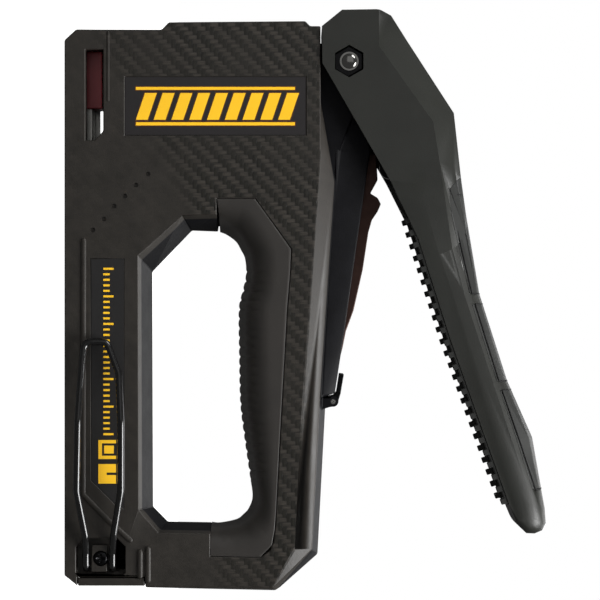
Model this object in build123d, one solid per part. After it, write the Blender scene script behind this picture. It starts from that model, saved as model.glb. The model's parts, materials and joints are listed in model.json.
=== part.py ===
from build123d import *
import os
from math import cos, hypot, radians, sin

# Hand staple gun, in millimetres. X runs from the nose to the back, Y across, Z up from the base.
# The origin is on the underside of the base, halfway along it, on the middle plane.
# Every outline is given as (distance behind the nose line, height above the base).

base_half = 94.5            # the nose line is this far in front of the origin
body_half = 16.0            # half width of the housing's flat sides
bevel_half = 12.8           # half width at the outer edge of the back bevel
neck_half = 11.0            # half width of the neck and of the tongue's foot
tongue_half = 9.0           # half width of the tongue's top
wall = 2.6                  # housing wall
gap = 0.35                  # space kept round pieces that slide or swing
pin_gap = 0.05              # radial clearance of a pin in what turns on it

pivot = (7.9, 103.3)        # handle pivot
boss_radius = 10.6
head_half = 17.0            # half width of the handle's head
handle_half = 14.0          # half width of the rest of the handle
channel_inner = 11.4        # half width of the channel inside the handle
head_inner = 14.2           # half width inside the head
ridge_half = 4.0            # half width of the flat along the handle's back
shoulder_half = 11.8        # half widths where the arm's side rounds over
swell_half = 13.6
bolt_radius = 3.4
nut_flats = 10.0
nut_height = 2.2
nut_sunk = 1.6              # the nut lies this deep in its pocket
tooth_count = 24
tooth_depth = 2.6
tooth_length = 2.1

rocker_pin_at = (116.0, 92.4)
rocker_pin_radius = 2.0
rocker_half = 2.5
lifter_pin_at = (24.0, 84.0)
lifter_pin_radius = 2.5
lifter_half = 2.0
lifter_tip_arm = 15.6
lifter_rest_angle = 20.0    # the tip starts this far below level
cam_nose_at = (46.0, 118.6)
cam_nose_radius = 3.8

guide_half = 9.8            # striker guide, outside
striker_half = 8.0
driver_half = 5.5
driver_front = 0.6
driver_back = 1.7
channel_start = 2.0         # staple channel
channel_end = 195.0
channel_half = 9.0
channel_top = 15.5
sheet = 1.2                 # thickness of the folded steel pieces
rail_half = 4.6
rail_top = 9.2
pusher_half = 6.6
feed_height = 6.2           # height of the feed rod and spring
cap_front = 195.4           # end cap
cap_back = 198.2
cap_low = 4.9
cap_high = 29.0

sleeve_skin = 2.0
sleeve_round_start = 7.0    # the sleeve's rounding starts this far from the middle plane
sleeve_round = 5.5
hook_wire_radius = 1.3
hook_screw_at = (188.3, 13.1)
dimple_places = [(48.8, 30.3), (52.8, 25.9), (56.8, 21.9), (60.4, 18.0), (65.1, 14.3), (69.1, 10.3)]
dimple_radius = 0.9
dimple_depth = 0.6
catch_pin_at = (131.7, 97.6)
catch_pin_radius = 0.9
catch_half = 6.0
catch_lugs = (6.4, 8.2)     # the pin's lugs stand this far from the middle plane
screw_places = [(44, 24), (46, 72), (110, 20.7), (168, 20.7), (189, 44), (192, 70), (150, 81.3), (98, 84.6)]

os.makedirs("parts", exist_ok=True)


def spot(x, y, z):
    return Vector(x - base_half, y, z)


def outline_at(points, y):
    return Wire.make_polygon([spot(x, y, z) for x, z in points])


def plate(points, y0, y1):
    """The outline made solid from y0 to y1."""
    return Part() + Solid.extrude(Face(outline_at(points, y0)), Vector(0, y1 - y0, 0))


def middle(points, half):
    return plate(points, -half, half)


def block(x0, x1, y0, y1, z0, z1):
    centre = Pos((x0 + x1) / 2 - base_half, (y0 + y1) / 2, (z0 + z1) / 2)
    return centre * Box(x1 - x0, y1 - y0, z1 - z0)


def cross_plane(place, y):
    x, z = place
    return Plane(origin=spot(x, y, z), x_dir=(1, 0, 0), z_dir=(0, 1, 0))


def bar(place, radius, y0, y1):
    """A round bar along Y."""
    return extrude(cross_plane(place, y0) * Circle(radius), y1 - y0)


def hexagon(place, flats, y0, y1):
    return extrude(cross_plane(place, y0) * RegularPolygon(flats / 2, 6, major_radius=False), y1 - y0)


def tube(start, axis, outer, inner, length):
    plane = Plane(origin=start, z_dir=axis)
    return extrude(plane * Circle(outer) - plane * Circle(inner), length)


def far(part):
    return part.mirror(Plane.XZ)


def near_side(levels):
    """Flat faces through outlines at growing distance from the middle plane, towards -Y."""
    faces = [Face(outline_at(points, -y)) for y, points in (levels[0], levels[-1])]
    for (ya, a), (yb, b) in zip(levels, levels[1:]):
        inner = [spot(x, -ya, z) for x, z in a]
        outer = [spot(x, -yb, z) for x, z in b]
        for n in range(len(inner)):
            m = (n + 1) % len(inner)
            corners = [inner[n], inner[m], outer[m], outer[n]]
            u, v, w = [corner - corners[0] for corner in corners[1:]]
            if abs(u.cross(v).dot(w)) < 1e-6:
                faces.append(Face(Wire.make_polygon(corners)))
            else:
                faces.append(Face(Wire.make_polygon(corners[:3])))
                faces.append(Face(Wire.make_polygon([corners[0], corners[2], corners[3]])))
    return Part() + Solid(Shell(faces))


def between(first, second, share):
    """The outline that share of the way from the first to the second."""
    return [(a + share * (c - a), b + share * (d - b)) for (a, b), (c, d) in zip(first, second)]


def grown(points, amount):
    """The outline with every edge moved outwards by the same amount."""
    area = sum(a[0] * b[1] - b[0] * a[1] for a, b in zip(points, points[1:] + points[:1]))
    turn = 1 if area > 0 else -1
    result = []
    for before, here, after in zip(points[-1:] + points[:-1], points, points[1:] + points[:1]):
        ends = []
        for a, b in ((before, here), (here, after)):
            length = hypot(b[0] - a[0], b[1] - a[1])
            ends.append((turn * (b[1] - a[1]) / length, -turn * (b[0] - a[0]) / length))
        (ux, uz), (vx, vz) = ends
        share = amount / (1 + ux * vx + uz * vz)
        result.append((here[0] + share * (ux + vx), here[1] + share * (uz + vz)))
    return result


# ---- outlines ----

nose_edge = [
    (0.2, 0), (-3.7, 4.2), (-3.6, 35.2), (-6.3, 37.8), (-6.7, 87.4), (-4.9, 89.1), (-4.9, 92.9), (24, 92.9),
]
base_back = [(198.2, 4.6), (194.4, 0)]
flat_outline = nose_edge + [(40.8, 93.0), (138.1, 86.2), (185.1, 83.5), (199.0, 75.4)] + base_back
bevel_outline = nose_edge + [(51.5, 98.0), (131.0, 92.7), (185.2, 89.8), (200.2, 76.6)] + base_back
parting_outline = nose_edge + [(51.5, 98.6), (131.2, 95.0), (188.3, 92.0), (201.0, 77.7)] + base_back

hand_opening = [
    (84.2, 30.9), (69.0, 45.5), (69.4, 55.9), (73.0, 61.8), (79.2, 65.1), (84.5, 65.5), (97.9, 62.8),
    (132.2, 63.3), (158.2, 66.7), (166.7, 67.9), (171.2, 66.6), (175.5, 61.9), (176.7, 56.0), (176.4, 36.6),
    (170.9, 31.2),
]
hand_opening_at_side = [
    (78.6, 26.4), (63.7, 42.6), (63.3, 57.2), (68.5, 64.4), (77.4, 69.2), (85.2, 70.0), (97.9, 67.4),
    (131.0, 67.9), (157.4, 71.0), (167.6, 72.2), (174.0, 70.6), (178.4, 64.4), (179.3, 56.8), (178.9, 34.0),
    (170.5, 26.7),
]
sleeve_outline = [
    (57.6, 55.2), (57.6, 69.1), (76.0, 82.3), (79.2, 82.3), (98.3, 80.8), (130.8, 79.0), (174.7, 76.6),
    (181.5, 76.0), (185.4, 74.6), (187.9, 71.2), (187.5, 52.9), (170.0, 52.9), (120.0, 56.0), (75.0, 55.2),
]
tongue_foot = [(20, 88), (20, 96.5), (39.6, 98.6), (62.9, 98.0), (106.6, 95.4), (129.2, 94.2), (130.8, 91.5)]
tongue_outline = [(20, 88), (20, 106), (39.6, 111.2), (62.9, 107.8), (106.6, 101.6), (128.6, 98.2), (130.8, 91.5)]
inside_outline = [
    (-1.0, 17), (-1.0, 36.3), (-3.6, 38.9), (-4.1, 86.2), (-2.4, 88.0), (-2.4, 90.3), (40, 90.3), (138, 83.6),
    (184, 81), (196.2, 73.6), (195.6, 34), (192.4, 31), (192.4, 17),
]
slot_outline = [(12, 80), (12, 95), (36, 104), (36, 125), (122, 125), (122, 87), (53, 87), (53, 80)]
window_outline = [(3.6, 7.6), (3.6, 14.0), (33.2, 14.0), (36.5, 10.9), (36.5, 7.6)]
badge_outline = [(13.5, 21.9), (13.5, 87.6), (34.7, 87.6), (34.7, 21.9)]
label_outline = [(79.5, 9.6), (79.5, 21.7), (170.4, 21.7), (168.8, 18.6), (160.0, 9.8)]
hook_pocket_outline = [
    (181.0, 7.4), (181.0, 18.9), (184.2, 22.1), (193.4, 22.1), (194.4, 21.0), (194.4, 5.2), (193.4, 4.2), (184.2, 4.2),
]

handle_edge = [(48, 116.5), (60.1, 122.8), (64, 125.9), (109.5, 140.4), (168.8, 161.5)]
handle_ridge = handle_edge + [
    (176.4, 164.6), (180.2, 168.6), (180.3, 171.6), (179.2, 174.5), (176.6, 175.9), (171.0, 175.5), (164.5, 174.3),
    (145, 170.9), (124.2, 161.7), (92.3, 151.5), (46.0, 143.7),
]
handle_shoulder = handle_edge + [
    (175.6, 164.3), (179.0, 167.6), (179.2, 170.4), (178.0, 172.8), (175.8, 173.6), (170.4, 172.8), (163.8, 171.0),
    (145, 164.9), (124.2, 157.7), (92.2, 147.8), (46.0, 137.1),
]
handle_swell = handle_edge + [
    (174.6, 163.9), (177.0, 166.6), (177.0, 168.6), (176.0, 170.2), (174.0, 170.8), (169.6, 170.0), (163.6, 168.6),
    (145, 162.4), (123.3, 155.3), (92.2, 145.2), (46.0, 133.0),
]
handle_flat = handle_edge + [
    (173.0, 163.4), (174.6, 165.0), (174.4, 166.4), (173.4, 167.4), (171.4, 167.6), (168.0, 166.6), (163.6, 164.8),
    (145, 158.4), (122, 151.4), (92.3, 141.0), (46.0, 125.5),
]
head_ridge = [
    (-4.8, 93.4), (-10.7, 100.7), (-10.9, 113.0), (-12.2, 115.4), (-10.2, 119.0), (-1.0, 124.8), (25.7, 142.1),
    (49.4, 144.7), (58.0, 134.0), (51.0, 118.1), (8.6, 93.6),
]
head_flat = head_ridge[:3] + [
    (-10.8, 114.1), (-8.6, 114.1), (2.5, 114.1), (29.9, 133.7), (44.0, 136.0), (52.5, 128.6),
] + head_ridge[9:]
neck_start = [(46.0, -17, 115.2), (51.0, -17, 118.1), (52.5, -17, 128.6), (44.0, -17, 136.0), (49.4, -4, 144.7)]
neck_finish = [
    (60.1, -14, 122.8), (64, -14, 125.9), (72, -14, 128.45), (78, -14, 136.2), (76, -13.6, 140.9),
    (74, -11.8, 143.6), (70, -8.5, 146.3), (66, -4, 147.0),
]
head_wide_hollow = [
    (-2.3, 90), (-8.0, 101.2), (-8.1, 112.2), (1.8, 112.2), (28.5, 131.6), (43, 134), (52, 126), (60, 110),
]
head_narrow_hollow = [
    (-2.3, 90), (-8.0, 101.2), (-8.0, 113.6), (0.5, 115.2), (27, 134), (44.5, 137), (52, 131), (60, 110),
]
handle_hollow = [
    (45, 110), (45, 132), (55, 136.2), (92.3, 144.8), (124.2, 154.8), (145, 161.6), (160, 166.0), (166, 165.2),
    (170.6, 160), (172, 150), (100, 120),
]
pad_outlines = {
    "upper": [(55.2, 138.6), (92.3, 147.2), (92.3, 153.0), (49.7, 146.0), (49.7, 144.0)],
    "middle": [(95.9, 148.0), (124.2, 157.1), (124.2, 163.0), (95.9, 154.0)],
    "lower": [(127.3, 158.2), (145.0, 164.2), (163.8, 170.2), (163.8, 176.0), (145.0, 173.0), (127.3, 164.0)],
}
core_outline = [(24, 128), (44, 133.6), (55, 133.4), (92, 142.2), (140, 157.6), (140, 164), (92, 148), (44, 140)]
rocker_outline = [
    (40.5, 113.6), (50.3, 114.1), (55.2, 111.4), (56.8, 114.1), (59.1, 115.3), (61.9, 114.1), (65.0, 112.0),
    (69.5, 110.7), (83.3, 108.6), (98.4, 105.2), (106.0, 102.4), (112.0, 101.2), (118.6, 99.5), (120.6, 96.0),
    (120.6, 90.5), (118.0, 88.0), (113.5, 88.0), (104.0, 92.0), (80.0, 96.5), (60.0, 100.5), (46.5, 104.2),
    (42.5, 104.4), (40.5, 106.5),
]


# ---- housing ----

def whole_body():
    """Both halves of the housing as one block, before the hollows."""
    near = near_side([(0, parting_outline), (bevel_half, bevel_outline), (body_half, flat_outline)])
    raised = near_side([(0, tongue_outline), (tongue_half, tongue_outline), (neck_half, tongue_foot)])
    column = middle([(1.0, 86), (1.0, 98), pivot, (24, 106), (40, 100), (40, 86)], neck_half)
    return near + far(near) + raised + far(raised) + column + bar(pivot, boss_radius, -neck_half, neck_half)


def catch_lug():
    foot = [(130.2, 92), (130.2, 97.6), (133.2, 97.6), (135.2, 92)]
    result = plate(foot, *catch_lugs) + bar(catch_pin_at, 1.9, *catch_lugs)
    return result + far(result) - bar(catch_pin_at, catch_pin_radius, -10, 10)


def hand_hole(margin):
    """The hand opening, wider at each side than at the middle plane, grown by a margin."""
    past = body_half + 0.5
    near = near_side([(0, grown(hand_opening, margin)), (past, grown(hand_opening_at_side, margin))])
    return near + far(near)


def sleeve_hole():
    """What the grip sleeve leaves inside it: its edge towards the hand is thick, to be rounded."""
    part_way = between(hand_opening, hand_opening_at_side, sleeve_round_start / body_half)
    near = near_side([
        (0, grown(hand_opening, sleeve_skin)),
        (sleeve_round_start, grown(part_way, sleeve_skin)),
        (body_half + 0.5, grown(hand_opening_at_side, sleeve_skin + sleeve_round)),
    ])
    return near + far(near)


def hollows():
    """The space inside the housing, open between the halves."""
    inside = middle(inside_outline, body_half - wall) - hand_hole(wall)
    inside += bar(pivot, boss_radius - 2.2, -neck_half + wall, neck_half - wall)
    inside += middle([(3.4, 86), (3.4, 100), (30, 103), (36, 99), (36, 86)], neck_half - wall)
    inside += middle(slot_outline, rocker_half + 1)
    inside += block(-1.0, 13.2, -guide_half, guide_half, 1.5, 20)
    return inside


def cuts():
    """What opens the housing to the outside."""
    result = block(channel_start, 205, -channel_half, channel_half, -1, channel_top)
    result += block(-1.0, channel_start, -guide_half, guide_half, -1, 2)
    result += block(cap_front - gap, 205, -body_half - 1, body_half + 1, cap_low - gap, cap_high + gap)
    result += plate(window_outline, -body_half - 1, -channel_half + 0.5)
    result += plate(window_outline, channel_half - 0.5, body_half + 1)
    result += plate(badge_outline, -body_half - 1, -body_half + 0.8)
    result += plate(badge_outline, body_half - 0.8, body_half + 1)
    result += plate(label_outline, -body_half - 1, -body_half + 0.6)
    result += plate(hook_pocket_outline, -body_half - 1, -body_half + 3.2)
    for z in (7.7, 17.3):
        result += bar((192.0, z), hook_wire_radius + 0.05, -14, -10)
    result += bar(hook_screw_at, 1.5, -14, -channel_half)
    for place in dimple_places:
        result += bar(place, dimple_radius, -body_half - 1, -body_half + dimple_depth)
    result += bar(pivot, bolt_radius + pin_gap, -20, 20)
    return result


def bosses():
    result = Part()
    for place in screw_places:
        result += bar(place, 4.2, -body_half + wall - 0.5, body_half - wall + 0.5)
    result += bar(lifter_pin_at, 4.6, lifter_half + gap, body_half - wall + 0.5)
    result += bar(lifter_pin_at, 4.6, -body_half + wall - 0.5, -lifter_half - gap)
    result += block(184.5, 192.4, -body_half + wall - 0.5, -3.0, 17, 18.4)
    return result


def screw_holes():
    result = Part()
    for place in screw_places:
        result += bar(place, 3.8, body_half - 2.4, body_half + 2)
        result += bar(place, 1.85, 0, body_half)
        result += bar(place, 1.75, -10.5, 0)
    result += bar(lifter_pin_at, lifter_pin_radius, -12.5, 12.5)
    result += bar(rocker_pin_at, rocker_pin_radius, -8, 8)
    return result


def housing_screws():
    result = Part()
    for place in screw_places:
        result += bar(place, 3.4, body_half - 2.4, body_half - 0.5) - hexagon(place, 3.0, body_half - 1.8, body_half)
        result += bar(place, 1.75, -10.5, body_half - 2.4)
    return result


body = whole_body()
hole = hand_hole(0)
body = body + catch_lug() - hole
body = body - (hollows() - bosses()) - cuts() - screw_holes()
sleeve_core = middle(sleeve_outline, body_half - sleeve_skin) - sleeve_hole()
sleeve_region = middle(sleeve_outline, body_half + 1) - sleeve_core
near_room = block(-30, 230, -40, 0, -5, 130)
far_room = block(-30, 230, 0, 40, -5, 130)

nodes = {}
nodes["grip_sleeve_near"] = body & sleeve_region & near_room
nodes["grip_sleeve_far"] = body & sleeve_region & far_room
nodes["housing_near"] = (body - sleeve_region) & near_room
nodes["housing_far"] = (body - sleeve_region) & far_room
nodes["housing_screws"] = housing_screws()
nodes["badge_plate_near"] = plate(grown(badge_outline, -0.1), -body_half + 0.2, -body_half + 0.8)
nodes["badge_plate_far"] = plate(grown(badge_outline, -0.1), body_half - 0.8, body_half - 0.2)
nodes["label_plate"] = plate(grown(label_outline, -0.1), -body_half + 0.1, -body_half + 0.6)

# ---- striker and what lifts it ----

spring_axis = 1.6
seat_low = 76.0
seat_high = 78.5
block_low = 26.0
block_high = 38.0
hook_plate = (8.2, 10.2)


def striker():
    """A block that carries the driver, with a plate behind the spring that the lifter hooks into."""
    result = block(-0.4, hook_plate[0], -striker_half, striker_half, block_low, block_high)
    result += block(hook_plate[0], hook_plate[1], -5.0, 5.0, block_low, 84.0)
    result -= block(hook_plate[0] - 1, hook_plate[1] + 1, -lifter_half - gap, lifter_half + gap, 76.1, 81.2)
    return result - driver()


def driver():
    return block(driver_front, driver_back, -driver_half, driver_half, 0.6, 31.0)


def guide():
    sides = block(-0.6, 13.2, -guide_half, guide_half, 20, 80)
    sides -= block(-2, 11.9, -guide_half + 1.4, guide_half - 1.4, 19, 81)
    return sides - block(11, 14, -9, 9, 60, 81)


def lifter():
    """Turns on its pin: the rocker's nose presses its long arm down and its tip lifts the striker."""
    angle = radians(lifter_rest_angle)
    tip = (lifter_pin_at[0] - lifter_tip_arm * cos(angle), lifter_pin_at[1] - lifter_tip_arm * sin(angle))
    end = (43.0, 99.0)
    result = middle([(21.5, 88.6), (26.5, 79.6), (45.0, 97.4), (41.2, 100.6)], lifter_half)
    result += middle([(20.5, 80.0), (20.5, 87.0), (tip[0], tip[1] + 1.9), (tip[0], tip[1] - 1.9)], lifter_half)
    result += bar(lifter_pin_at, 5.5, -lifter_half, lifter_half)
    result += bar(tip, 1.9, -lifter_half, lifter_half) + bar(end, 2.5, -lifter_half, lifter_half)
    return result - bar(lifter_pin_at, lifter_pin_radius + pin_gap, -5, 5)


def rocker():
    return middle(rocker_outline, rocker_half) - bar(rocker_pin_at, rocker_pin_radius + pin_gap, -5, 5)


nodes["striker_guide"] = guide()
nodes["nose_plate"] = block(-1.0, 0.25, -guide_half, guide_half, 0, 20)
nodes["striker"] = striker()
nodes["driver_blade"] = driver()
nodes["power_spring"] = tube(spot(spring_axis, 0, block_high + gap), (0, 0, 1), 4.2, 3.0, seat_low - block_high - gap)
nodes["spring_seat"] = block(-2.8, 6.6, -guide_half + 1.4, guide_half - 1.4, seat_low, seat_high)
bumper = block(-0.6, 10.2, -striker_half, striker_half, 20.4, 25.6)
nodes["striker_bumper"] = bumper - block(driver_front - gap, driver_back + gap, -6, 6, 20, 26)
nodes["lifter"] = lifter()
nodes["lifter_pin"] = bar(lifter_pin_at, lifter_pin_radius, -12.5, 12.5)
nodes["rocker"] = rocker()
nodes["rocker_pin"] = bar(rocker_pin_at, rocker_pin_radius, -8, 8)

# ---- staple feed ----


def channel():
    result = block(channel_start, channel_end, -channel_half, channel_half, 0, channel_top)
    result -= block(0, 200, -channel_half + sheet, channel_half - sheet, sheet, 20)
    result -= plate(grown(window_outline, 0.4), -20, 0)
    return result - block(4.0, 33.2, 0, 20, 10.9, 12.7)


def rail():
    result = block(2.6, cap_front, -rail_half, rail_half, sheet + gap, rail_top)
    return result - block(4, 188, -3.4, 3.4, 3.0, 12)


def end_cap():
    result = block(cap_front, cap_back, -body_half + 0.1, body_half - 0.1, cap_low, cap_high)
    for z in (20, 22.5, 25):
        result -= block(cap_back - 0.6, cap_back + 1, -8, 8, z - 0.6, z + 0.6)
    return result


def solid_bar(start, axis, radius, length):
    return extrude(Plane(origin=start, z_dir=axis) * Circle(radius), length)


def pusher():
    """The saddle that pushes the staples forward, with a lug down into the rail's groove."""
    result = block(3.3, 24.3, -pusher_half, pusher_half, sheet + gap, 12.9)
    result -= block(0, 30, -rail_half - gap, rail_half + gap, 0, rail_top + gap)
    result += block(14, 24.3, -3.4 + gap, 3.4 - gap, 3.0 + gap, rail_top + gap)
    return result - solid_bar(spot(0, 0, feed_height), (1, 0, 0), 1.0 + gap, 40)


nodes["staple_channel"] = channel()
nodes["staple_rail"] = rail()
nodes["feed_rod"] = solid_bar(spot(6, 0, feed_height), (1, 0, 0), 1.0, 182)
nodes["feed_spring"] = tube(spot(24.3 + gap, 0, feed_height), (1, 0, 0), 2.4, 1.5, 163)
nodes["pusher"] = pusher()
nodes["end_cap"] = end_cap()

# ---- handle ----


def handle_neck():
    """The near side's slope from the end of the head down to the narrower arm, closed to a point inside."""
    a = [spot(*place) for place in neck_start]
    b = [spot(*place) for place in neck_finish]
    inside = spot(55, -5, 131)
    skin = [
        (a[0], a[1], a[2]), (a[0], a[2], a[3]), (a[1], b[0], b[1]), (a[1], b[1], b[2]), (a[1], b[2], a[2]),
        (a[2], b[2], b[3]), (a[2], b[3], b[4]), (a[2], b[4], a[3]), (a[3], b[4], b[5]), (a[3], b[5], b[6]),
        (a[3], b[6], a[4]), (a[4], b[6], b[7]),
    ]
    rim = [a[0], a[1]] + b + [a[4], a[3]]
    closing = [(one, other, inside) for one, other in zip(rim, rim[1:] + rim[:1])]
    faces = [Face(Wire.make_polygon(corners)) for corners in skin + closing]
    return Part() + Solid(Shell(faces))


def handle_block():
    head = near_side([(0, head_ridge), (ridge_half, head_ridge), (head_half, head_flat)])
    arm = near_side([
        (0, handle_ridge),
        (ridge_half, handle_ridge),
        (8.5, between(handle_shoulder, handle_ridge, 0.72)),
        (shoulder_half, handle_shoulder),
        (swell_half, handle_swell),
        (handle_half, handle_flat),
    ])
    near = head + arm + handle_neck()
    return near + far(near)


def handle_hollows():
    inner_boss = bar(pivot, 8.5, channel_inner, head_inner) + bar(pivot, 8.5, -head_inner, -channel_inner)
    result = middle(head_wide_hollow, head_inner) - inner_boss
    return result + middle(head_narrow_hollow, channel_inner) + middle(handle_hollow, channel_inner)


def tooth_strips():
    """A strip of small teeth along the lower edge of each side of the handle."""
    start = (64.0, 125.9)
    bend = (109.5, 140.4)
    finish = (168.8, 161.5)
    bends = [start, bend, finish]
    result = Part()
    foot = [(x, z) for x, z in bends] + [(x + 0.3, z - 0.9) for x, z in reversed(bends)]
    for y0, y1 in ((channel_inner + 0.2, handle_half - 0.3), (-handle_half + 0.3, -channel_inner - 0.2)):
        result += plate(foot, y0, y1)
        for number in range(tooth_count):
            x = 65.2 + number * (167.4 - 65.2) / (tooth_count - 1)
            (xa, za), (xb, zb) = (start, bend) if x < bend[0] else (bend, finish)
            run = hypot(xb - xa, zb - za)
            ux, uz = (xb - xa) / run, (zb - za) / run
            top = (x, za + (x - xa) * (zb - za) / (xb - xa) - 0.5)
            a = (top[0] - ux * tooth_length / 2, top[1] - uz * tooth_length / 2)
            b = (top[0] + ux * tooth_length / 2, top[1] + uz * tooth_length / 2)
            drop = (uz * (tooth_depth - 0.5), -ux * (tooth_depth - 0.5))
            result += plate([a, b, (b[0] + drop[0], b[1] + drop[1]), (a[0] + drop[0], a[1] + drop[1])], y0, y1)
    return result


arm_block = handle_block() - handle_hollows()
pads = {name: arm_block & middle(points, handle_half) for name, points in pad_outlines.items()}
shell = arm_block
for pad in pads.values():
    shell = shell - pad
shell -= bar(pivot, bolt_radius, -20, 20)
shell -= hexagon(pivot, nut_flats + 0.3, -20, -head_half + nut_sunk + nut_height)
shell -= bar(pivot, 6.0, head_half - 3.0, 20)

core = middle(core_outline, 9.0) & (handle_hollows())
cam = middle([(42.3, 119.2), (36, 133), (54, 134.5), (49.7, 119.2)], 2.4) + bar(cam_nose_at, cam_nose_radius, -2.4, 2.4)
cam = cam - core - shell

nodes["handle_body"] = shell
nodes["handle_pad_upper"] = pads["upper"]
nodes["handle_pad_middle"] = pads["middle"]
nodes["handle_pad_lower"] = pads["lower"]
nodes["handle_tooth_strips"] = tooth_strips() - shell
nodes["handle_core"] = core
nodes["handle_cam"] = cam
nodes["pivot_bolt"] = bar(pivot, bolt_radius, -head_half + 0.4, head_half - 3.0) + bar(
    pivot, 5.6, head_half - 3.0, head_half - 0.3)
nodes["pivot_nut"] = hexagon(pivot, nut_flats, -head_half + nut_sunk, -head_half + nut_sunk + nut_height) - bar(
    pivot, bolt_radius, -20, 0)
nodes["handle_spring"] = bar(pivot, 6.6, -4.5, 4.5) - bar(pivot, 5.2, -5, 5)

# ---- handle catch, on the tongue's end ----


def catch():
    """A bent strap over the end of the tongue that swings up on its pin to hold the closed handle."""
    strap = [
        (121.6, 99.9), (128.4, 98.85), (130.4, 97.0), (133.0, 97.0), (132.4, 99.3), (128.8, 100.4), (121.8, 101.6),
    ]
    result = middle(strap, catch_half) + bar(catch_pin_at, 2.0, -catch_half, catch_half)
    return result - bar(catch_pin_at, catch_pin_radius + pin_gap, -10, 10)


nodes["handle_catch"] = catch()
nodes["catch_pin"] = bar(catch_pin_at, catch_pin_radius, -catch_lugs[1], catch_lugs[1])

# ---- belt hook ----


def hook_wire():
    """One wire: into the clamp, out along the side, round the tip and back."""
    corners = [
        (192.0, -10.6, 7.7), (192.0, -15.1, 7.7), (186.6, -15.1, 7.7), (179.6, -18.7, 7.8), (163.5, -21.4, 4.9),
        (138.0, -22.9, 5.5), (126.5, -20.4, 6.1), (109.6, -18.6, 7.4), (109.6, -18.6, 15.6), (121.0, -19.6, 20.0),
        (138.0, -22.9, 21.0), (163.0, -21.4, 20.9), (179.6, -18.7, 18.0), (186.6, -15.1, 17.3),
        (192.0, -15.1, 17.3), (192.0, -10.6, 17.3),
    ]
    radii = [1.9, 4, 6, 10, 10, 10, 3.2, 3.2, 6, 10, 10, 6, 4, 1.9]
    path = FilletPolyline(*[spot(*corner) for corner in corners], radius=radii)
    section = Plane(origin=spot(*corners[0]), z_dir=(0, -1, 0)) * Circle(hook_wire_radius)
    return sweep(section, path=path)


clamp = plate([(183.4, 9.9), (183.4, 15.7), (193.2, 15.3), (193.2, 9.6)], -body_half + 0.4, -body_half + 3.2)
nodes["belt_hook"] = hook_wire()
nodes["belt_hook_clamp"] = clamp - bar(hook_screw_at, 2.85, -20, -body_half + 1.6) - bar(hook_screw_at, 1.5, -20, 0)
nodes["belt_hook_screw"] = bar(hook_screw_at, 2.8, -body_half + 0.1, -body_half + 1.6) + bar(
    hook_screw_at, 1.5, -body_half + 1.6, -channel_half)

for name, part in nodes.items():
    export_step(part, f"parts/{name}.step")
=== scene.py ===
import bpy
import bmesh
import json
import numpy as np
from math import pi, radians
from mathutils import Matrix, Vector


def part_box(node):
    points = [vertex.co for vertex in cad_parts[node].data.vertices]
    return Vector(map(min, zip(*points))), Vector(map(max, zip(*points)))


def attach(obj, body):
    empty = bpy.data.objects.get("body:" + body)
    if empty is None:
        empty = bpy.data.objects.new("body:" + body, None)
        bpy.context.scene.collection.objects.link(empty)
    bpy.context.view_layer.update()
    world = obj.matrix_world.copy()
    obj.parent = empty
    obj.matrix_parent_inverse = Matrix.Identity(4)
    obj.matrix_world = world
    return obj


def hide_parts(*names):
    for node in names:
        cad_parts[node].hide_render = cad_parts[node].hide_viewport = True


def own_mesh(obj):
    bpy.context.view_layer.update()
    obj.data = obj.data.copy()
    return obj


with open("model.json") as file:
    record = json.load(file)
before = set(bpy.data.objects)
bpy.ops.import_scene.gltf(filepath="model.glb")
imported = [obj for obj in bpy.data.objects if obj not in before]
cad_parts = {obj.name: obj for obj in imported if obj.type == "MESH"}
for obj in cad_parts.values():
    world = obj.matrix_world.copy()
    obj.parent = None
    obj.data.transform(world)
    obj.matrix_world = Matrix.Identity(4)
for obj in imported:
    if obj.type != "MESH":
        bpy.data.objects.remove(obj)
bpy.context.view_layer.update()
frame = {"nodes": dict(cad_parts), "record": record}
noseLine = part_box("nose_plate")[0].x + 0.001     # outlines below are millimetres behind this line
print("frame loaded")


# Small tools.

# A colour typed as sRGB hex, turned to the linear values a shader wants.
def colour(text):
    value = np.array([int(text[n:n + 2], 16) for n in (1, 3, 5)]) / 255
    linear = np.where(value <= 0.04045, value / 12.92, ((value + 0.055) / 1.055) ** 2.4)
    return (*linear.tolist(), 1.0)


# Adds one node with its settings, and gives back one of its outputs.
def addNode(tree, kind, inputs, output=0, **settings):
    made = tree.nodes.new("ShaderNode" + kind)
    for name, value in settings.items():
        setattr(made, name, value)
    for name, value in inputs.items():
        if isinstance(value, bpy.types.NodeSocket):
            tree.links.new(value, made.inputs[name])
        else:
            made.inputs[name].default_value = value
    return made.outputs[output] if made.outputs else None


# An empty material with its output, ready for nodes.
def startMaterial(name):
    material = bpy.data.materials.new(name)
    material.use_nodes = True
    material.node_tree.nodes.clear()
    return material, material.node_tree


def finishMaterial(tree, shader):
    addNode(tree, "OutputMaterial", {"Surface": shader})


# Points (mm behind the nose line, mm across, mm up) into metres in the row frame.
def metres(points):
    moved = np.array(points, float) / 1000
    moved[..., 0] += noseLine
    return moved


# A mesh piece on a body: doubled points merged, faces outwards, edges sharper than the angle left sharp.
newObjectSharp = 35     # degrees


def newObject(name, vertices, faces, body, material, smooth=True):
    mesh = bpy.data.meshes.new(name)
    mesh.from_pydata(np.asarray(vertices).reshape(-1, 3).tolist(), [], [list(map(int, f)) for f in faces])
    mesh.validate()
    tidy = bmesh.new()
    tidy.from_mesh(mesh)
    bmesh.ops.remove_doubles(tidy, verts=tidy.verts, dist=1e-6)
    bmesh.ops.recalc_face_normals(tidy, faces=tidy.faces)
    tidy.to_mesh(mesh)
    tidy.free()
    if smooth:
        mesh.shade_smooth()
        mesh.set_sharp_from_angle(angle=radians(newObjectSharp))
    made = bpy.data.objects.new(name, mesh)
    bpy.context.scene.collection.objects.link(made)
    mesh.materials.append(material)
    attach(made, body)
    return made


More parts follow.
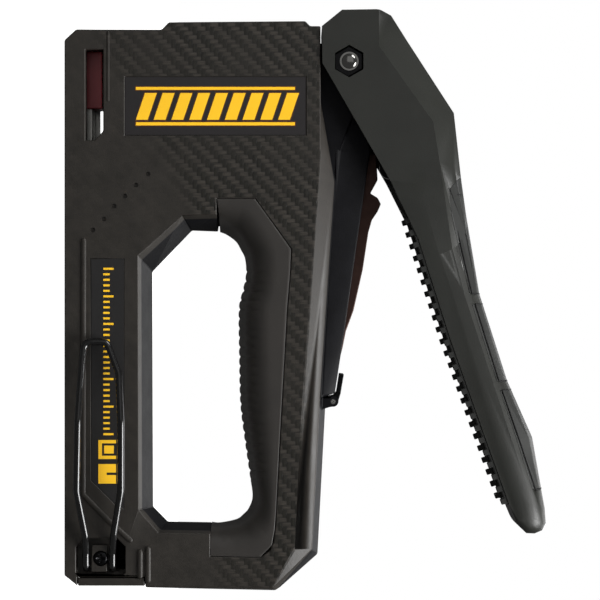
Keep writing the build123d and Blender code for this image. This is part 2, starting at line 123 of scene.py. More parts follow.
# Quads of a grid whose rows are u and columns v; closed columns join the last one to the first.
def gridFaces(rows, columns, closeColumns=False):
    lastColumn = columns if closeColumns else columns - 1
    u, v = np.meshgrid(np.arange(rows - 1), np.arange(lastColumn), indexing="ij")
    a, b = u + 1, (v + 1) % columns
    return np.stack([u * columns + v, a * columns + v, a * columns + b, u * columns + b], -1).reshape(-1, 4)


# A round section carried along a path: point = path + radius * (cos(turn) * side + sin(turn) * up), where
# side and up are square to the path. The radius shrinks as a quarter circle at both ends, so they close as
# domes.
def wireAlong(path, radius, sides=14, lean=(0.62, 0.51, 0.6), domed=True):
    path = np.asarray(path, float)
    if domed:
        quarter = np.linspace(0, pi / 2, 6)[1:]
        first = (path[0] - path[1]) / np.linalg.norm(path[0] - path[1])
        last = (path[-1] - path[-2]) / np.linalg.norm(path[-1] - path[-2])
        front = path[0] + np.outer(np.sin(quarter) * radius, first)
        back = path[-1] + np.outer(np.sin(quarter) * radius, last)
        thin = radius * np.cos(quarter)
        radii = np.concatenate([thin[::-1], np.full(len(path), radius), thin])
        path = np.concatenate([front[::-1], path, back])
    else:
        radii = np.full(len(path), radius)
    radii = np.maximum(radii, radius * 0.002)
    tangent = np.gradient(path, axis=0)
    tangent /= np.linalg.norm(tangent, axis=1, keepdims=True)
    lean = np.array(lean) / np.linalg.norm(lean)
    side = lean - (tangent @ lean)[:, None] * tangent
    side /= np.linalg.norm(side, axis=1, keepdims=True)
    up = np.cross(tangent, side)
    turn = np.linspace(0, 2 * pi, sides, endpoint=False)
    ring = np.cos(turn)[None, :, None] * side[:, None] + np.sin(turn)[None, :, None] * up[:, None]
    points = path[:, None] + radii[:, None, None] * ring
    faces = gridFaces(len(path), sides, closeColumns=True).tolist()
    count = len(path) * sides
    return points.reshape(-1, 3), faces + [list(range(sides)), list(range(count - sides, count))[::-1]]


# A smooth line through points: each stretch is the cubic whose slopes are half the chord across its
# neighbours.
def smoothLine(points, share):
    points = np.asarray(points, float)
    index = np.clip(np.floor(share).astype(int), 0, len(points) - 2)
    t = (share - index)[:, None]
    slope = np.gradient(points, axis=0)
    a, b, ma, mb = points[index], points[index + 1], slope[index], slope[index + 1]
    return ((2 * t**3 - 3 * t**2 + 1) * a + (t**3 - 2 * t**2 + t) * ma
            + (-2 * t**3 + 3 * t**2) * b + (t**3 - t**2) * mb)


def straightLine(points, share):
    points = np.asarray(points, float)
    steps = np.arange(len(points))
    return np.stack([np.interp(share, steps, points[:, n]) for n in range(points.shape[1])], -1)


# 0 below low, 1 above high, and an even S between them.
def ease(value, low, high):
    t = np.clip((value - low) / (high - low), 0, 1)
    return t * t * (3 - 2 * t)


softening = {
    "sharp": 28,          # degrees, edges that count as sharp
    "flat": 0.5,          # degrees, faces that count as one flat face
    "shortest": 0.7,      # mm, the shortest edge to bevel
    "merge": 2e-6,        # metres, points closer than this are one
    "parting": 1e-5,      # metres, edges this near the parting plane keep their faces apart
}


# A merged copy of a CAD node. Its flat areas become single faces, and its sharp outer edges get a bevel.
def roundedCopy(nodeName, body, material, bevel, segments):
    source = frame["nodes"][nodeName]
    shape = bmesh.new()
    shape.from_mesh(source.data)
    bmesh.ops.remove_doubles(shape, verts=shape.verts, dist=softening["merge"])
    inside = [edge for edge in shape.edges
              if max(abs(end.co.y) for end in edge.verts) > softening["parting"]]
    bmesh.ops.dissolve_limit(shape, angle_limit=radians(softening["flat"]), verts=shape.verts, edges=inside)
    weight = shape.edges.layers.float.new("bevel_weight_edge")
    for edge in shape.edges:
        sharp = len(edge.link_faces) == 2 and edge.calc_face_angle(0) > radians(softening["sharp"])
        if sharp and edge.calc_length() > softening["shortest"] / 1000:
            edge[weight] = 1.0
    mesh = bpy.data.meshes.new(nodeName + "_finished")
    shape.to_mesh(mesh)
    shape.free()
    mesh.shade_smooth()
    mesh.set_sharp_from_angle(angle=radians(softening["sharp"]))
    made = bpy.data.objects.new(nodeName + "_finished", mesh)
    bpy.context.scene.collection.objects.link(made)
    mesh.materials.append(material)
    if bevel:
        edges = made.modifiers.new("softened edges", "BEVEL")
        edges.width = bevel / 1000
        edges.segments = segments
        edges.limit_method = "WEIGHT"
        edges.use_clamp_overlap = False
        edges.harden_normals = True
        edges.miter_outer = "MITER_SHARP"
    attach(made, body)
    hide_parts(nodeName)
    return made


# Materials.

# Chopped-fibre nylon pressed over a visible carbon twill. The broad sides show 2 x 2 twill, where each band
# of tows has painted reflection: the way it catches the light is painted into its colour; the bevels and
# edges are plain textured moulding.
def carbonComposite():
    look = {
        "tow": 1.55,              # mm, width of one tow
        "warpReflectionColour": "#2e2a25",
        "weftReflectionColour": "#17150f",
        "plainColour": "#231f1a",
        "innerShadeColour": "#0d0d10",    # the neck and tongue, moulded without the twill; their darker colour is painted shade of the handle
        "grain": 0.45,            # mm, moulding texture
        "twillStart": (20.5, 13.6, 0.52),   # the twill's edge: height, distance behind the nose, slope
    }
    material, tree = startMaterial("carbon twill composite, moulded")
    place = addNode(tree, "TexCoord", {}, "Object")
    axes = addNode(tree, "SeparateXYZ", {0: place}, "X").node.outputs
    tow = look["tow"] / 1000
    u = addNode(tree, "Math", {0: axes["X"], 1: 1 / tow}, operation="MULTIPLY")
    v = addNode(tree, "Math", {0: axes["Z"], 1: 1 / tow}, operation="MULTIPLY")
    column = addNode(tree, "Math", {0: u}, operation="FLOOR")
    row = addNode(tree, "Math", {0: v}, operation="FLOOR")
    stair = addNode(tree, "Math", {0: column, 1: row}, operation="SUBTRACT")
    stairMiddle = addNode(tree, "Math", {0: stair, 1: 0.5}, operation="ADD")
    turn = addNode(tree, "Math", {0: stairMiddle, 1: 4.0, 2: 0.0}, operation="WRAP")
    warpOnTop = addNode(tree, "Math", {0: turn, 1: 2.0}, operation="LESS_THAN")
    crowns = []
    for across, along, shift in ((u, addNode(tree, "Math", {0: column, 1: v}, operation="SUBTRACT"), 0.0),
                                 (v, addNode(tree, "Math", {0: u, 1: row}, operation="SUBTRACT"), -3.0)):
        part = addNode(tree, "Math", {0: across}, operation="FRACT")
        centred = addNode(tree, "Math", {0: part, 1: 2.0, 2: -1.0}, operation="MULTIPLY_ADD")
        square = addNode(tree, "Math", {0: centred, 1: centred}, operation="MULTIPLY")
        shifted = addNode(tree, "Math", {0: along, 1: shift}, operation="ADD")
        alongFloat = addNode(tree, "Math", {0: shifted, 1: 2.0, 2: -2.0}, operation="WRAP")
        floatSquare = addNode(tree, "Math", {0: alongFloat, 1: alongFloat}, operation="MULTIPLY")
        both = addNode(tree, "Math", {0: square, 1: floatSquare}, operation="ADD")
        crowns.append(addNode(tree, "Math", {0: 1.0, 1: both}, operation="SUBTRACT"))
    crown = addNode(tree, "Mix", {"Factor": warpOnTop, "A": crowns[1], "B": crowns[0]}, "Result")
    fibreColumns = addNode(tree, "Mapping", {"Vector": place, "Scale": (1, 1, 0.08)})
    fibreRows = addNode(tree, "Mapping", {"Vector": place, "Scale": (0.08, 1, 1)})
    warpFibres = addNode(tree, "TexNoise", {"Vector": fibreColumns, "Scale": 2600.0, "Detail": 2.0})
    weftFibres = addNode(tree, "TexNoise", {"Vector": fibreRows, "Scale": 2600.0, "Detail": 2.0})
    fibres = addNode(tree, "Mix", {"Factor": warpOnTop, "A": weftFibres, "B": warpFibres}, "Result")
    # where the twill shows: on faces square to Y, fading out towards the nose and the base
    aside = addNode(tree, "Math", {0: axes["Y"]}, operation="ABSOLUTE")
    outer = addNode(tree, "MapRange", {"Value": aside, "From Min": 0.0118, "From Max": 0.0126})
    facing = addNode(tree, "NewGeometry", {}, "Normal")
    sideways = addNode(tree, "SeparateXYZ", {0: facing}, "Y")
    sidewaysSize = addNode(tree, "Math", {0: sideways}, operation="ABSOLUTE")
    onSide = addNode(tree, "MapRange", {"Value": sidewaysSize, "From Min": 0.86, "From Max": 0.97})
    z0, x0, slope = look["twillStart"]
    reach = addNode(tree, "Math", {0: axes["X"], 1: -slope, 2: -(z0 - slope * x0) / 1000 + slope * noseLine},
                    operation="MULTIPLY_ADD")
    edgeDistance = addNode(tree, "Math", {0: axes["Z"], 1: reach}, operation="ADD")
    lowBand = addNode(tree, "Math", {0: axes["Z"], 1: -0.055}, operation="ADD")
    reachAll = addNode(tree, "Math", {0: edgeDistance, 1: lowBand}, operation="MAXIMUM")
    twillArea = addNode(tree, "MapRange", {"Value": reachAll, "From Min": -0.004, "From Max": 0.006,
                                           "To Min": 0.12, "To Max": 1.0}, interpolation_type="SMOOTHSTEP")
    patches = addNode(tree, "TexNoise", {"Vector": place, "Scale": 45.0, "Detail": 3.0})
    patchShare = addNode(tree, "MapRange", {"Value": patches, "From Min": 0.3, "From Max": 0.6,
                                            "To Min": 0.45})
    areaShare = addNode(tree, "Math", {0: twillArea, 1: patchShare}, operation="MULTIPLY")
    outerSide = addNode(tree, "Math", {0: onSide, 1: outer}, operation="MULTIPLY")
    twill = addNode(tree, "Math", {0: areaShare, 1: outerSide}, operation="MULTIPLY")
    # colour, with painted reflection: warp bands lighter than weft bands, tows brighter at their crowns
    bands = addNode(tree, "Mix", {0: warpOnTop, 6: colour(look["weftReflectionColour"]), 7: colour(look["warpReflectionColour"])},
                    2, data_type="RGBA")
    fibreShare = addNode(tree, "MapRange", {"Value": fibres, "From Min": 0.3, "From Max": 0.7, "To Min": 0.6,
                                            "To Max": 1.35})
    crownHighlight = addNode(tree, "MapRange", {"Value": crown, "From Min": -0.6, "From Max": 0.9, "To Min": 0.62,
                                            "To Max": 1.15})
    paintedShine = addNode(tree, "Math", {0: fibreShare, 1: crownHighlight}, operation="MULTIPLY")
    towReflectionColour = addNode(tree, "VectorMath", {0: bands, "Scale": paintedShine}, operation="SCALE")
    mottle = addNode(tree, "TexNoise", {"Vector": place, "Scale": 160.0, "Detail": 5.0, "Roughness": 0.65})
    mottleShare = addNode(tree, "MapRange", {"Value": mottle, "From Min": 0.3, "From Max": 0.7,
                                             "To Min": 0.78,
                                             "To Max": 1.25})
    # the neck and tongue inside the outer skin take the painted shade colour
    zone = addNode(tree, "Mix", {0: outer, 6: colour(look["innerShadeColour"]), 7: colour(look["plainColour"])}, 2,
                   data_type="RGBA")
    plainColour = addNode(tree, "VectorMath", {0: zone, "Scale": mottleShare}, operation="SCALE")
    base = addNode(tree, "Mix", {0: twill, 6: plainColour, 7: towReflectionColour}, 2, data_type="RGBA")
    # relief: tows 0.06 mm high, moulding grain on the rest
    grain = addNode(tree, "TexNoise", {"Vector": place, "Scale": 1000 / look["grain"], "Detail": 3.0,
                                       "Roughness": 0.6})
    relief = addNode(tree, "Mix", {"Factor": twill, "A": 0.0, "B": crown}, "Result")
    towBump = addNode(tree, "Bump", {"Height": relief, "Strength": 0.5, "Distance": 0.00006})
    grainBump = addNode(tree, "Bump", {"Height": grain, "Strength": 0.4, "Distance": 0.00012,
                                       "Normal": towBump})
    rough = addNode(tree, "MapRange", {"Value": fibres, "To Min": 0.34, "To Max": 0.5})
    roughPlain = addNode(tree, "MapRange", {"Value": mottle, "To Min": 0.42, "To Max": 0.62})
    roughness = addNode(tree, "Mix", {"Factor": twill, "A": roughPlain, "B": rough}, "Result")
    # the inner neck reflects less than the outer skin
    gloss = addNode(tree, "MapRange", {"Value": outer, "To Min": 0.12, "To Max": 0.5})
    shader = addNode(tree, "BsdfPrincipled", {"Base Color": base, "Roughness": roughness, "IOR": 1.52,
                                              "Normal": grainBump, "Specular IOR Level": gloss})
    finishMaterial(tree, shader)
    return material


# A moulded plastic or rubber: mottled colour, fine spark-eroded grain and a roughness that wanders a little.
# The grain's size and depth are in mm.
def mouldedMaterial(name, base, roughness, grain, depth, mottling=0.2, ior=1.5, sheen=0.0, scuffs=0.0):
    material, tree = startMaterial(name)
    place = addNode(tree, "TexCoord", {}, "Object")
    cloud = addNode(tree, "TexNoise", {"Vector": place, "Scale": 70.0, "Detail": 4.0, "Roughness": 0.6})
    share = addNode(tree, "MapRange", {"Value": cloud, "From Min": 0.3, "From Max": 0.7,
                                       "To Min": 1 - mottling,
                                       "To Max": 1 + mottling})
    tint = addNode(tree, "VectorMath", {0: colour(base)[:3], "Scale": share}, operation="SCALE")
    fine = addNode(tree, "TexNoise", {"Vector": place, "Scale": 1000 / grain, "Detail": 3.0,
                                      "Roughness": 0.65})
    bump = addNode(tree, "Bump", {"Height": fine, "Strength": 0.5, "Distance": depth / 1000})
    wander = addNode(tree, "MapRange", {"Value": fine, "From Min": 0.3, "From Max": 0.7,
                                        "To Min": roughness - 0.07,
                                        "To Max": roughness + 0.07})
    if scuffs:
        # rubbed places, a little smoother and paler
        rub = addNode(tree, "TexNoise", {"Vector": place, "Scale": 22.0, "Detail": 8.0, "Roughness": 0.75})
        rubbed = addNode(tree, "MapRange", {"Value": rub, "From Min": 0.56, "From Max": 0.72,
                                            "To Max": scuffs})
        wander = addNode(tree, "Math", {0: wander, 1: rubbed}, operation="SUBTRACT")
        lift = addNode(tree, "MapRange", {"Value": rubbed, "To Min": 1.0, "To Max": 2.2})
        tint = addNode(tree, "VectorMath", {0: tint, "Scale": lift}, operation="SCALE")
    shader = addNode(tree, "BsdfPrincipled", {
        "Base Color": tint, "Roughness": wander, "IOR": ior, "Normal": bump, "Sheen Weight": sheen,
        "Sheen Roughness": 0.4})
    finishMaterial(tree, shader)
    return material


# A metal: colour with faint stains, fine drawing or rolling lines along one axis, and a wandering roughness.
# The lines' width and depth are in mm.
def metalMaterial(name, base, roughness, stretch=(1, 1, 1), lines=0.25, depth=0.006, stain=0.12, coat=0.0,
                  metallic=1.0):
    material, tree = startMaterial(name)
    place = addNode(tree, "TexCoord", {}, "Object")
    drawn = addNode(tree, "Mapping", {"Vector": place, "Scale": stretch})
    streaks = addNode(tree, "TexNoise", {"Vector": drawn, "Scale": 1000 / lines, "Detail": 3.0})
    clouds = addNode(tree, "TexNoise", {"Vector": place, "Scale": 120.0, "Detail": 5.0, "Roughness": 0.7})
    share = addNode(tree, "MapRange", {"Value": clouds, "From Min": 0.3, "From Max": 0.7, "To Min": 1 - stain,
                                       "To Max": 1 + stain * 0.4})
    tint = addNode(tree, "VectorMath", {0: colour(base)[:3], "Scale": share}, operation="SCALE")
    wander = addNode(tree, "MapRange", {"Value": streaks, "From Min": 0.3, "From Max": 0.7,
                                        "To Min": roughness - 0.06, "To Max": roughness + 0.08})
    bump = addNode(tree, "Bump", {"Height": streaks, "Strength": 0.4, "Distance": depth / 1000})
    shader = addNode(tree, "BsdfPrincipled", {
        "Base Color": tint, "Metallic": metallic, "Roughness": wander, "Normal": bump, "Coat Weight": coat,
        "Coat Roughness": 0.1})
    finishMaterial(tree, shader)
    return material


composite = carbonComposite()
# thermoplastic rubber moulded over the frame: soft, warm black, dry sheen
gripRubber = mouldedMaterial("thermoplastic rubber, moulded", "#2b2825",
                             roughness=0.52, grain=0.35, depth=0.03, mottling=0.12, ior=1.5, sheen=0.04)
padRubber = mouldedMaterial("thermoplastic rubber, pads", "#1f201e",
                            roughness=0.5, grain=0.35, depth=0.03, mottling=0.12, ior=1.5, sheen=0.03)
# glass-filled nylon with a fine spark-eroded texture that goes pale where light grazes it
handleNylon = mouldedMaterial("glass-filled nylon, moulded", "#1d1e1a",
                              roughness=0.47, grain=0.5, depth=0.06, mottling=0.14, ior=1.53, sheen=0.0,
                              scuffs=0.1)
toothRubber = mouldedMaterial("thermoplastic rubber, teeth", "#1b1c1a",
                              roughness=0.55, grain=0.35, depth=0.03)
# near-black, painted shade: it stands for the shade in the grooves round the pads
seamShadeRubber = mouldedMaterial("thermoplastic rubber, shadowed seam", "#060606",
                             roughness=0.8, grain=0.35, depth=0.02)
bumperRubber = mouldedMaterial("polyurethane bumper", "#151515", roughness=0.6, grain=0.4, depth=0.03)
# printed films let into the housing, and the inks on them
badgeFilm = mouldedMaterial("printed polyester film, satin black", "#1e1b1c",
                            roughness=0.36, grain=0.8, depth=0.01, mottling=0.08, ior=1.57)
labelFilm = mouldedMaterial("printed vinyl label, matt black", "#1d1c1c",
                            roughness=0.42, grain=0.8, depth=0.012, mottling=0.08, ior=1.54)
yellowInk = mouldedMaterial("screen-printed yellow ink", "#ffc61a",
                            roughness=0.42, grain=0.6, depth=0.012, mottling=0.03, ior=1.5)
brownInk = mouldedMaterial("screen-printed brown outline ink", "#5a2c0d",
                           roughness=0.45, grain=0.6, depth=0.012, mottling=0.05, ior=1.5)
# acetal slides on steel without oil, so the pusher is moulded from it
redPusher = mouldedMaterial("acetal, moulded dark red", "#96383f",
                            roughness=0.34, grain=0.6, depth=0.02, mottling=0.08, ior=1.48)
# steels: coated wire, chromated bolt, blackened fasteners, plated sheet, bright springs, tempered levers
blackWire = metalMaterial("spring wire, gloss black e-coat", "#161616",
                          roughness=0.2, stretch=(0.05, 1, 1), lines=0.3, depth=0.004, stain=0.1,
                          coat=0.6, metallic=0.35)
domedSteel = metalMaterial("steel, polished and dark chromated", "#8c8b88",
                           roughness=0.14, stretch=(1, 1, 1), lines=0.3, depth=0.003, stain=0.1)
blackOxide = metalMaterial("steel, black oxide", "#2a2a2b",
                           roughness=0.3, stretch=(1, 1, 1), lines=0.3, depth=0.006, stain=0.2)
zincSteel = metalMaterial("cold-rolled sheet, zinc plated", "#b4b3ae",
                          roughness=0.3, stretch=(0.04, 1, 1), lines=0.25, depth=0.006, stain=0.15)
springSteel = metalMaterial("drawn spring steel, oiled", "#c4c3be",
                            roughness=0.24, stretch=(1, 1, 1), lines=0.25, depth=0.005, stain=0.1)
brownSteel = metalMaterial("hardened steel, brown temper", "#46322c",
                           roughness=0.42, stretch=(0.06, 1, 1), lines=0.3, depth=0.008, stain=0.25,
                           coat=0.0, metallic=0.75)
print("materials ready")


# Parts that keep their CAD shape, with softened edges.

bodyOf = {}
for bodyName, members in frame["record"]["behaviour"]["bodies"].items():
    for member in members:
        bodyOf[member] = bodyName

# Each node's material, slot, bevel in mm and bevel segments. The handle's body has no bevel, which would tear
# its mesh where the head slopes down to the arm.
finishes = {
    "housing_near": (composite, "composite", 0.45, 2),
    "housing_far": (composite, "composite", 0.45, 2),
    "end_cap": (composite, "composite", 0.35, 2),
    "belt_hook_clamp": (composite, "composite", 0.3, 2),
    "housing_screws": (blackOxide, "screw_black", 0.2, 2),
    "badge_plate_near": (badgeFilm, "badge", 0.0, 1),
    "badge_plate_far": (badgeFilm, "badge", 0.0, 1),
    "label_plate": (labelFilm, "label", 0.0, 1),
    "handle_body": (handleNylon, "handle_plastic", 0.0, 1),
    "handle_pad_upper": (padRubber, "soft_grip", 0.35, 3),
    "handle_pad_middle": (padRubber, "soft_grip", 0.35, 3),
    "handle_pad_lower": (padRubber, "soft_grip", 0.35, 3),
    "handle_tooth_strips": (toothRubber, "soft_grip", 0.25, 2),
    "handle_core": (zincSteel, "zinc_steel", 0.3, 2),
    "handle_cam": (blackOxide, "black_steel", 0.0, 1),
    "handle_catch": (blackOxide, "black_steel", 0.25, 2),
    "pivot_bolt": (domedSteel, "black_steel", 1.0, 5),
    "pivot_nut": (blackOxide, "black_steel", 0.5, 2),
    "rocker": (brownSteel, "bronze_steel", 0.4, 2),
    "lifter": (brownSteel, "bronze_steel", 0.3, 2),
    "pusher": (redPusher, "pusher_red", 0.5, 3),
    "staple_channel": (zincSteel, "zinc_steel", 0.15, 2),
    "staple_rail": (zincSteel, "zinc_steel", 0.3, 2),
    "nose_plate": (zincSteel, "zinc_steel", 0.2, 2),
    "striker_guide": (zincSteel, "zinc_steel", 0.3, 2),
    "striker": (springSteel, "bright_steel", 0.3, 2),
    "driver_blade": (springSteel, "bright_steel", 0.1, 1),
    "spring_seat": (zincSteel, "zinc_steel", 0.3, 2),
    "striker_bumper": (bumperRubber, "soft_grip", 0.5, 2),
    "lifter_pin": (springSteel, "bright_steel", 0.3, 2),
    "rocker_pin": (springSteel, "bright_steel", 0.3, 2),
    "catch_pin": (springSteel, "bright_steel", 0.2, 2),
    "feed_rod": (springSteel, "bright_steel", 0.2, 2),
}
for nodeName, (material, slotName, bevel, segments) in finishes.items():
    roundedCopy(nodeName, bodyOf[nodeName], material, bevel, segments)


# The bolt's near end: a dome, where height = h * (1 - (r/R)^2)^0.5.
boltDome = {"radius": 2.75, "height": 1.0, "rings": 14, "sides": 64}


def boltEnd():
    low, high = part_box("pivot_bolt")
    radius, height = boltDome["radius"] / 1000, boltDome["height"] / 1000
    r = radius * np.sin(np.linspace(0.01, pi / 2, boltDome["rings"]))
    turn = np.linspace(0, 2 * pi, boltDome["sides"], endpoint=False)
    rise = height * np.sqrt(np.clip(1 - (r / radius)**2, 0, 1))
    points = np.stack([(low.x + high.x) / 2 + np.outer(r, np.cos(turn)), low.y - rise[:, None] + 0 * turn,
                       (low.z + high.z) / 2 + np.outer(r, np.sin(turn))], -1)
    sides = boltDome["sides"]
    faces = gridFaces(len(r), sides, closeColumns=True).tolist()
    faces += [list(range(sides))[::-1], list(range((len(r) - 1) * sides, len(r) * sides))]
    return newObject("pivot_bolt_dome", points, faces, bodyOf["pivot_bolt"], domedSteel)


boltEnd()
print("CAD shapes finished")


# Seams round the handle's pads, drawn as near-black beads that are painted shade of the grooves there.

seamShape = {"radius": 0.22, "halfWidths": [11.8, 8.5, 4.0], "rise": 0.45,
             "crownHighlight": 0.72, "step": 3.0,
             "low": [(46.0, 137.1), (92.2, 147.8), (124.2, 157.7), (145.0, 164.9), (163.8, 171.0)],
             "high": [(46.0, 143.7), (92.3, 151.5), (124.2, 161.7), (145.0, 170.9), (164.5, 174.3)]}


# A bead along both lower edges of a pad and over the handle's back at both its ends. On the back, the
# height over a half width goes from the low line to the high line, 72 % of the way at the middle half
# width.
def padSeam(name, front, back):
    low, high = np.array(seamShape["low"]), np.array(seamShape["high"])
    wide, crown, ridge = seamShape["halfWidths"]

    def across(x):
        zLow = np.interp(x, low[:, 0], low[:, 1]) + seamShape["rise"]
        zHigh = np.interp(x, high[:, 0], high[:, 1])
        z = [zLow, zLow + seamShape["crownHighlight"] * (zHigh - zLow), zHigh]
        near = [(x, -y, h) for y, h in zip((wide, crown, ridge), z)]
        return near + [(x, -y, h) for x, y, h in near[::-1]]

    step = seamShape["step"]
    run = np.arange(front + step, back - step + 0.1, step)
    edge = np.interp(run, low[:, 0], low[:, 1]) + seamShape["rise"]
    nearRun = np.stack([run, np.full(len(run), -wide), edge], -1)
    loop = np.concatenate([across(front)[::-1], nearRun, across(back), nearRun[::-1] * [1, -1, 1]])
    loop = np.concatenate([loop, loop[:1]])
    share = np.linspace(0, len(loop) - 1, len(loop) * 5)
    points, faces = wireAlong(straightLine(loop, share), seamShape["radius"], 8, lean=(0.3, 0.25, 1.0),
                              domed=False)
    return newObject(name, metres(points), faces, "handle", seamShadeRubber)


padSeam("pad_seam_upper", 56.0, 92.25)
padSeam("pad_seam_middle", 95.95, 124.15)
padSeam("pad_seam_lower", 127.35, 163.7)
print("pad seams made")


# Grip sleeve.

gripShape = {
    # each station: inner line on the middle plane, corner line at the side, outer line on the side face
    "inner": [(69.4, 55.9), (70.5, 58.5), (73.0, 61.8), (76.0, 63.6), (79.2, 65.1), (84.5, 65.5),
              (90.5, 64.4),
              (97.9, 62.8), (115.0, 62.9), (132.2, 63.3), (145.0, 64.8), (158.2, 66.7), (166.7, 67.9),
              (171.2, 66.6),
              (173.6, 64.6), (175.5, 61.9), (176.7, 56.0), (176.5, 52.9)],
    "corner": [(63.4, 56.0), (65.5, 61.2), (68.5, 64.4), (73.0, 67.2), (77.4, 69.2), (85.2, 70.0),
               (91.0, 69.0),
               (97.9, 67.4), (115.0, 67.5), (131.0, 67.9), (145.0, 69.4), (157.4, 71.0), (167.6, 72.2),
               (172.5, 71.4),
               (175.8, 68.0), (178.0, 64.4), (179.3, 57.5), (179.2, 52.9)],
    "outer": [(57.7, 55.3), (57.7, 62.0), (57.7, 69.1), (67.0, 75.8), (76.0, 82.2), (85.0, 81.8),
              (91.0, 81.3),
              (98.3, 80.7), (115.0, 79.8), (130.8, 78.9), (145.0, 78.1), (158.0, 77.4), (170.0, 76.8),
              (178.0, 76.2),
              (183.6, 75.2), (187.8, 71.1), (187.6, 60.0), (187.4, 52.9)],
    "halfWidth": 15.95,
    "rounding": 7.5,
    "ribs": (84.0, 160.5, 3.5),       # from, to, pitch
    "ribDepth": 0.6,
    "thickness": 1.5,
    "along": 520,
}


# Across the sleeve the surface runs inner line -> corner line -> outer line; the corner is a quadratic
# curve (1-t)^2 A + 2t(1-t) corner + t^2 B. Ribs push the surface in by depth * (1 - |sin|) of the distance
# along it.
def gripSleeve(side):
    share = np.linspace(0, len(gripShape["inner"]) - 1, gripShape["along"])
    inner = smoothLine(gripShape["inner"], share)
    corner = smoothLine(gripShape["corner"], share)
    outer = straightLine(gripShape["outer"], share)
    half = gripShape["halfWidth"]
    p0 = np.stack([inner[:, 0], np.zeros(len(share)), inner[:, 1]], -1)
    p1 = np.stack([corner[:, 0], np.full(len(share), half), corner[:, 1]], -1)
    p2 = np.stack([outer[:, 0], np.full(len(share), half), outer[:, 1]], -1)
    toInner = np.linalg.norm(p0 - p1, axis=1, keepdims=True)
    toOuter = np.linalg.norm(p2 - p1, axis=1, keepdims=True)
    a = p1 + (p0 - p1) / toInner * np.minimum(gripShape["rounding"], 0.8 * toInner)
    b = p1 + (p2 - p1) / toOuter * np.minimum(gripShape["rounding"], 0.8 * toOuter)
    rows = [p0 + (a - p0) * t for t in np.linspace(0, 1, 10)[:-1]]
    rows += [(1 - t)**2 * a + 2 * t * (1 - t) * p1 + t**2 * b for t in np.linspace(0, 1, 20)[:-1]]
    edge = p2 + (p1 - p2) / toOuter * 0.3
    rows += [b + (edge - b) * t for t in np.linspace(0, 1, 8)]
    rows.append(p2 + (p1 - p2) / toOuter * 0.08 + np.array([0, -0.12, 0]))
    rows.append(p2 + np.array([0, -0.45, 0]))
    surface = np.stack(rows, 1)                       # along, across, xyz
    across = np.linspace(0, 1, surface.shape[1])
    start, stop, pitch = gripShape["ribs"]
    place = surface[:, :1, 0]
    inside = ease(place, start - 1, start + 1) * (1 - ease(place, stop - 1, stop + 1))
    groove = (1 - np.abs(np.sin(pi * (place - start) / pitch)))**1.6
    fade = 1 - ease(across, 0.34, 0.68)
    normal = np.cross(np.gradient(surface, axis=0), np.gradient(surface, axis=1))
    normal /= np.linalg.norm(normal, axis=2, keepdims=True)
    outward = np.sign((normal * np.array([0, 1, -1.0])).sum(2, keepdims=True))
    surface = surface - normal * outward * (gripShape["ribDepth"] * inside * groove * fade)[..., None]
    surface[..., 1] *= side
    faces = gridFaces(surface.shape[0], surface.shape[1])
    name = "near" if side < 0 else "far"
    made = newObject("grip_surface_" + name, metres(surface), faces, "housing", gripRubber)
    # recalculated normals of an open shell may point either way: the corner line has to face away from the
    # middle
    middle = made.data.polygons[len(made.data.polygons) // 2]
    if middle.normal.y * side < 0 or middle.normal.z > 0 and abs(middle.normal.y) < 0.2:
        made.data.flip_normals()
    wall = made.modifiers.new("wall", "SOLIDIFY")
    wall.thickness = gripShape["thickness"] / 1000
    wall.offset = -1
    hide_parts("grip_sleeve_" + name)
    return made


gripSleeve(-1)
gripSleeve(1)
print("grip sleeve made")


# Belt hook.

hookShape = {
    "corners": [
        (192.0, -10.8, 7.7), (192.0, -15.1, 7.7), (186.6, -15.1, 7.7), (179.6, -18.7, 7.8),
        (163.5, -21.4, 4.9),
        (138.0, -22.9, 5.5), (126.5, -20.4, 6.1), (109.6, -18.6, 7.4), (109.6, -18.6, 15.6),
        (121.0, -19.6, 20.0),
        (138.0, -22.9, 21.0), (163.0, -21.4, 20.9), (179.6, -18.7, 18.0), (186.6, -15.1, 17.3),
        (192.0, -15.1, 17.3), (192.0, -10.8, 17.3)],
    "bends": [1.9, 4, 6, 10, 10, 10, 3.2, 3.2, 6, 10, 10, 6, 4, 1.9],
    "radius": 1.28,
}


# The wire's line: straight runs joined by bends. A bend between directions p and q is the curve (1-t)^2 A +
# 2t(1-t) corner + t^2 B, whose ends A and B stand bend*tan(half the turn) from the corner.
def bentLine(corners, bends, steps=12):
    corners = np.array(corners, float)
    line = [corners[:1]]
    for before, here, after, bend in zip(corners, corners[1:], corners[2:], bends):
        p = (before - here) / np.linalg.norm(before - here)
        q = (after - here) / np.linalg.norm(after - here)
        half = np.arccos(np.clip(-p @ q, -1, 1)) / 2
        cut = bend * np.tan(half)
        a, b = here + p * cut, here + q * cut
        t = np.linspace(0, 1, steps)[:, None]
        line.append((1 - t)**2 * a + 2 * t * (1 - t) * here + t**2 * b)
    line.append(corners[-1:])
    return np.concatenate(line)


hookLine = bentLine(hookShape["corners"], hookShape["bends"])
points, faces = wireAlong(hookLine, hookShape["radius"], 20, domed=False)
hook = newObject("belt_hook_wire", metres(points), faces, "housing", blackWire)
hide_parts("belt_hook")

screwShape = {"centre": (188.3, 13.1), "radius": 2.75, "seat": -14.45, "height": 1.4, "recess": 1.0,
              "slot": 0.34,
              "reach": 1.65}


